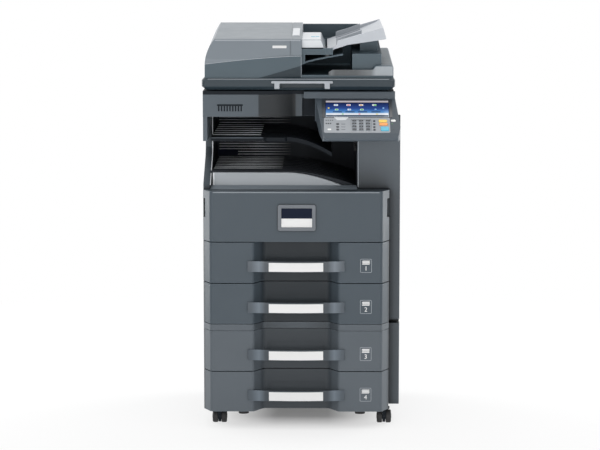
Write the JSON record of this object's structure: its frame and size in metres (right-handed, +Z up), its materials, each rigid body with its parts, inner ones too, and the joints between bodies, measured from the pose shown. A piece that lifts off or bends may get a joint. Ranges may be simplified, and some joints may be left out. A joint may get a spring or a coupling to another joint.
{
  "type": "photocopier",
  "caption": "Floor-standing office photocopier on casters with sliding paper drawers, inner output trays, tilted console and a lifting lid with a document feeder",
  "frame": {"origin": "on the floor, under the middle of the machine's footprint", "axes": "+X to the user's right, +Y to the rear, +Z up"},
  "size_m": [0.59, 0.74, 1.2133],
  "materials": {
    "slate_panel": "fine moulded grain",
    "silver_panel": "fine moulded grain",
    "black_moulding": "matt moulded",
    "pale_moulding": "satin moulded",
    "plated_steel": "zinc plated",
    "black_rubber": "matt",
    "drum_coating": "polished coating",
    "platen_glass": "clear float glass",
    "screen_glass": "touch film",
    "white_pad": "white backing sheet",
    "key_grey": "matt keycap",
    "key_cyan": "satin keycap",
    "key_orange": "satin keycap",
    "key_yellow": "satin keycap",
    "key_white": "satin keycap"
  },
  "bodies": {
    "frame": {"feeder_cabinet": "slate_panel", "engine_cabinet": "slate_panel", "left_cover": "slate_panel", "rear_cover": "slate_panel", "right_front_cover": "slate_panel", "output_tray": "black_moulding", "tray_insert": "pale_moulding", "separator_tray": "black_moulding", "scanner_housing": "slate_panel", "scanner_top_frame": "black_moulding", "platen_glass": "platen_glass", "console_body": "slate_panel", "touch_screen": "screen_glass", "number_keypad": "key_grey", "toner_container": "black_moulding", "hinge_left": "plated_steel", "hinge_right": "plated_steel"},
    "lid": {"lid_base": "black_moulding", "lid_handle": "pale_moulding", "platen_pad": "white_pad", "adf_body": "slate_panel"},
    "feeder_top": {"adf_top_cover": "silver_panel"},
    "feed_roller": {"adf_feed_roller": "black_rubber"},
    "document_tray": {"document_tray": "silver_panel"},
    "guide_front": {"guide_front": "pale_moulding"},
    "guide_rear": {"guide_rear": "pale_moulding"},
    "scan_carriage": {"scan_carriage": "black_moulding"},
    "mirror_carriage": {"mirror_carriage": "plated_steel"},
    "start_key": {"start_key": "key_cyan"},
    "stop_key": {"stop_key": "key_orange"},
    "reset_key": {"reset_key": "key_yellow"},
    "power_key": {"power_key": "key_white"},
    "front_cover": {"front_cover": "slate_panel"},
    "right_door": {"right_cover": "slate_panel"},
    "bypass_tray": {"bypass_tray": "black_moulding"},
    "feeder_door": {"feeder_right_cover": "slate_panel"},
    "drawer_1": {"drawer_front_1": "slate_panel", "drawer_handle_1": "slate_panel", "drawer_tray_1": "black_moulding"},
    "drawer_2": {"drawer_front_2": "slate_panel", "drawer_handle_2": "slate_panel", "drawer_tray_2": "black_moulding"},
    "drawer_3": {"drawer_front_3": "slate_panel", "drawer_handle_3": "slate_panel", "drawer_tray_3": "black_moulding"},
    "drawer_4": {"drawer_front_4": "slate_panel", "drawer_handle_4": "slate_panel", "drawer_tray_4": "black_moulding"},
    "drum": {"photoconductor_drum": "drum_coating"},
    "transfer": {"transfer_roller": "black_rubber"},
    "fuser_heat": {"fuser_heat_roller": "plated_steel"},
    "fuser_pressure": {"fuser_pressure_roller": "black_rubber"},
    "caster_front_left": {"caster_fork_front_left": "plated_steel"},
    "caster_front_right": {"caster_fork_front_right": "plated_steel"},
    "caster_rear_left": {"caster_fork_rear_left": "plated_steel"},
    "caster_rear_right": {"caster_fork_rear_right": "plated_steel"},
    "wheels_front_left": {"caster_wheels_front_left": "black_rubber"},
    "wheels_front_right": {"caster_wheels_front_right": "black_rubber"},
    "wheels_rear_left": {"caster_wheels_rear_left": "black_rubber"},
    "wheels_rear_right": {"caster_wheels_rear_right": "black_rubber"}
  },
  "joints": [
    {"name": "lid_hinge", "type": "hinge", "parent": "frame", "child": "lid", "pos_m": [-0.0095, 0.34, 1.036], "axis": [-1, 0, 0], "range_deg": [0, 60]},
    {"name": "feeder_top_hinge", "type": "hinge", "parent": "lid", "child": "feeder_top", "pos_m": [-0.286, -0.194, 1.0973], "axis": [0, -0.9976, -0.0698], "range_deg": [0, 70]},
    {"name": "feed_roller_spin", "type": "hinge", "parent": "lid", "child": "feed_roller", "pos_m": [-0.055, -0.194, 1.11298], "axis": [0, 0.9976, 0.0698], "continuous": true},
    {"name": "document_tray_hinge", "type": "hinge", "parent": "lid", "child": "document_tray", "pos_m": [0.081, -0.194, 1.134], "axis": [0, -0.9997, -0.0262], "range_deg": [0, 25]},
    {"name": "guide_front_slide", "type": "slide", "parent": "document_tray", "child": "guide_front", "axis": [0, 0.9997, 0.0262], "range_m": [0, 0.09]},
    {"name": "guide_rear_slide", "type": "slide", "parent": "document_tray", "child": "guide_rear", "axis": [0, -0.9997, -0.0262], "range_m": [0, 0.09]},
    {"name": "scan_slide", "type": "slide", "parent": "frame", "child": "scan_carriage", "axis": [1, 0, 0], "range_m": [0, 0.38]},
    {"name": "mirror_slide", "type": "slide", "parent": "frame", "child": "mirror_carriage", "axis": [1, 0, 0], "range_m": [0, 0.19]},
    {"name": "start_press", "type": "slide", "parent": "frame", "child": "start_key", "axis": [0, 0.4848, -0.8746], "range_m": [0, 0.0015], "stiffness_N_per_m": 400, "springref_m": -0.0005},
    {"name": "stop_press", "type": "slide", "parent": "frame", "child": "stop_key", "axis": [0, 0.4848, -0.8746], "range_m": [0, 0.0015], "stiffness_N_per_m": 400, "springref_m": -0.0005},
    {"name": "reset_press", "type": "slide", "parent": "frame", "child": "reset_key", "axis": [0, 0.4848, -0.8746], "range_m": [0, 0.0015], "stiffness_N_per_m": 400, "springref_m": -0.0005},
    {"name": "power_press", "type": "slide", "parent": "frame", "child": "power_key", "axis": [0, 0.4848, -0.8746], "range_m": [0, 0.0015], "stiffness_N_per_m": 400, "springref_m": -0.0005},
    {"name": "front_cover_hinge", "type": "hinge", "parent": "frame", "child": "front_cover", "pos_m": [-0.0165, -0.194, 0.5755], "axis": [1, 0, 0], "range_deg": [0, 80]},
    {"name": "right_door_hinge", "type": "hinge", "parent": "frame", "child": "right_door", "pos_m": [0.289, 0.343, 0.328], "axis": [0, 0, 1], "range_deg": [0, 75]},
    {"name": "bypass_tray_fold", "type": "hinge", "parent": "right_door", "child": "bypass_tray", "pos_m": [0.289, 0.117, 0.435], "axis": [0, 1, 0], "range_deg": [0, 75]},
    {"name": "feeder_door_hinge", "type": "hinge", "parent": "frame", "child": "feeder_door", "pos_m": [0.289, 0.343, 0.061], "axis": [0, 0, 1], "range_deg": [0, 75]},
    {"name": "drawer_1_slide", "type": "slide", "parent": "frame", "child": "drawer_1", "axis": [0, -1, 0], "range_m": [0, 0.42]},
    {"name": "drawer_2_slide", "type": "slide", "parent": "frame", "child": "drawer_2", "axis": [0, -1, 0], "range_m": [0, 0.42]},
    {"name": "drawer_3_slide", "type": "slide", "parent": "frame", "child": "drawer_3", "axis": [0, -1, 0], "range_m": [0, 0.42]},
    {"name": "drawer_4_slide", "type": "slide", "parent": "frame", "child": "drawer_4", "axis": [0, -1, 0], "range_m": [0, 0.42]},
    {"name": "drum_spin", "type": "hinge", "parent": "frame", "child": "drum", "pos_m": [0.2017, 0.122, 0.642], "axis": [0, 1, 0], "continuous": true},
    {"name": "transfer_spin", "type": "hinge", "parent": "frame", "child": "transfer", "pos_m": [0.2253, 0.122, 0.642], "axis": [0, 1, 0], "continuous": true},
    {"name": "fuser_heat_spin", "type": "hinge", "parent": "frame", "child": "fuser_heat", "pos_m": [0.2027, 0.122, 0.794], "axis": [0, 1, 0], "continuous": true},
    {"name": "fuser_pressure_spin", "type": "hinge", "parent": "frame", "child": "fuser_pressure", "pos_m": [0.2313, 0.122, 0.794], "axis": [0, 1, 0], "continuous": true},
    {"name": "caster_front_left_swivel", "type": "hinge", "parent": "frame", "child": "caster_front_left", "pos_m": [-0.25, -0.115, 0.0517], "axis": [0, 0, 1], "continuous": true},
    {"name": "caster_front_right_swivel", "type": "hinge", "parent": "frame", "child": "caster_front_right", "pos_m": [0.25, -0.115, 0.0517], "axis": [0, 0, 1], "continuous": true},
    {"name": "caster_rear_left_swivel", "type": "hinge", "parent": "frame", "child": "caster_rear_left", "pos_m": [-0.25, 0.285, 0.0517], "axis": [0, 0, 1], "continuous": true},
    {"name": "caster_rear_right_swivel", "type": "hinge", "parent": "frame", "child": "caster_rear_right", "pos_m": [0.25, 0.285, 0.0517], "axis": [0, 0, 1], "continuous": true},
    {"name": "wheels_front_left_roll", "type": "hinge", "parent": "caster_front_left", "child": "wheels_front_left", "pos_m": [-0.25, -0.103, 0.01975], "axis": [1, 0, 0], "continuous": true},
    {"name": "wheels_front_right_roll", "type": "hinge", "parent": "caster_front_right", "child": "wheels_front_right", "pos_m": [0.25, -0.103, 0.01975], "axis": [1, 0, 0], "continuous": true},
    {"name": "wheels_rear_left_roll", "type": "hinge", "parent": "caster_rear_left", "child": "wheels_rear_left", "pos_m": [-0.25, 0.297, 0.01975], "axis": [1, 0, 0], "continuous": true},
    {"name": "wheels_rear_right_roll", "type": "hinge", "parent": "caster_rear_right", "child": "wheels_rear_right", "pos_m": [0.25, 0.297, 0.01975], "axis": [1, 0, 0], "continuous": true}
  ],
  "couplings": [
    {"joint": "guide_rear_slide", "follows": "guide_front_slide", "ratio": 1},
    {"joint": "mirror_slide", "follows": "scan_slide", "ratio": 0.5},
    {"joint": "transfer_spin", "follows": "drum_spin", "ratio": -1.875},
    {"joint": "fuser_pressure_spin", "follows": "fuser_heat_spin", "ratio": -1}
  ]
}
